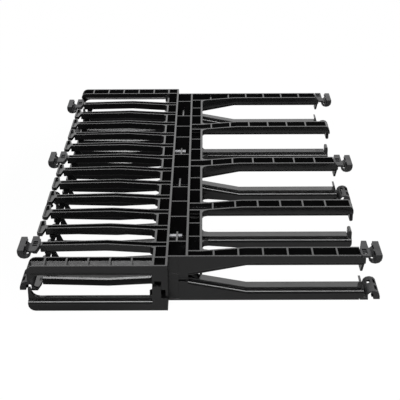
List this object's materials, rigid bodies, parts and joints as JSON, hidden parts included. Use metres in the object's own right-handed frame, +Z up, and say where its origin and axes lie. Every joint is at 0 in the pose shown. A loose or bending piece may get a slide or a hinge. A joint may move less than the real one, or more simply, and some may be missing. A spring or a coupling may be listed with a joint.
{
  "type": "horizontal cable manager",
  "caption": "Open rack-mount cable manager of black moulded plastic, with fine slotted fingers in front, wide fingers behind and clips for hinged covers above and below.",
  "frame": {"origin": "centre of the four rack slots, on the plane that meets the rack rails, halfway up", "axes": "+X along the rack's width, -Y towards the rack's front with the fine fingers, +Y into the rack, +Z up"},
  "size_m": [0.4826, 0.3222, 0.0436],
  "materials": {
    "black_plastic": "fine moulded grain, satin",
    "clip_plastic": "matte moulded grain",
    "zinc_steel": "bright zinc plate"
  },
  "bodies": {
    "root": {"front_upper_frame": "black_plastic", "front_lower_frame": "black_plastic", "rear_upper_frame": "black_plastic", "rear_lower_frame": "black_plastic", "front_upper_finger_1": "black_plastic", "front_upper_finger_2": "black_plastic", "front_upper_finger_3": "black_plastic", "front_upper_finger_4": "black_plastic", "front_upper_finger_5": "black_plastic", "front_upper_finger_6": "black_plastic", "front_upper_finger_7": "black_plastic", "front_upper_finger_8": "black_plastic", "front_upper_finger_9": "black_plastic", "front_upper_finger_10": "black_plastic", "front_upper_finger_11": "black_plastic", "front_upper_finger_12": "black_plastic", "front_lower_finger_1": "black_plastic", "front_lower_finger_2": "black_plastic", "front_lower_finger_3": "black_plastic", "front_lower_finger_4": "black_plastic", "front_lower_finger_5": "black_plastic", "front_lower_finger_6": "black_plastic", "front_lower_finger_7": "black_plastic", "front_lower_finger_8": "black_plastic", "front_lower_finger_9": "black_plastic", "front_lower_finger_10": "black_plastic", "front_lower_finger_11": "black_plastic", "front_lower_finger_12": "black_plastic", "front_upper_left_hinge_clip": "clip_plastic", "front_upper_centre_hinge_clip": "clip_plastic", "front_upper_right_hinge_clip": "clip_plastic", "front_lower_left_hinge_clip": "clip_plastic", "front_lower_centre_hinge_clip": "clip_plastic", "front_lower_right_hinge_clip": "clip_plastic", "rear_upper_left_hinge_clip": "clip_plastic", "rear_upper_centre_hinge_clip": "clip_plastic", "rear_upper_right_hinge_clip": "clip_plastic", "rear_lower_left_hinge_clip": "clip_plastic", "rear_lower_centre_hinge_clip": "clip_plastic", "rear_lower_right_hinge_clip": "clip_plastic", "upper_joining_screw_1": "zinc_steel", "upper_joining_screw_2": "zinc_steel", "lower_joining_screw_1": "zinc_steel", "lower_joining_screw_2": "zinc_steel"}
  },
  "joints": []
}
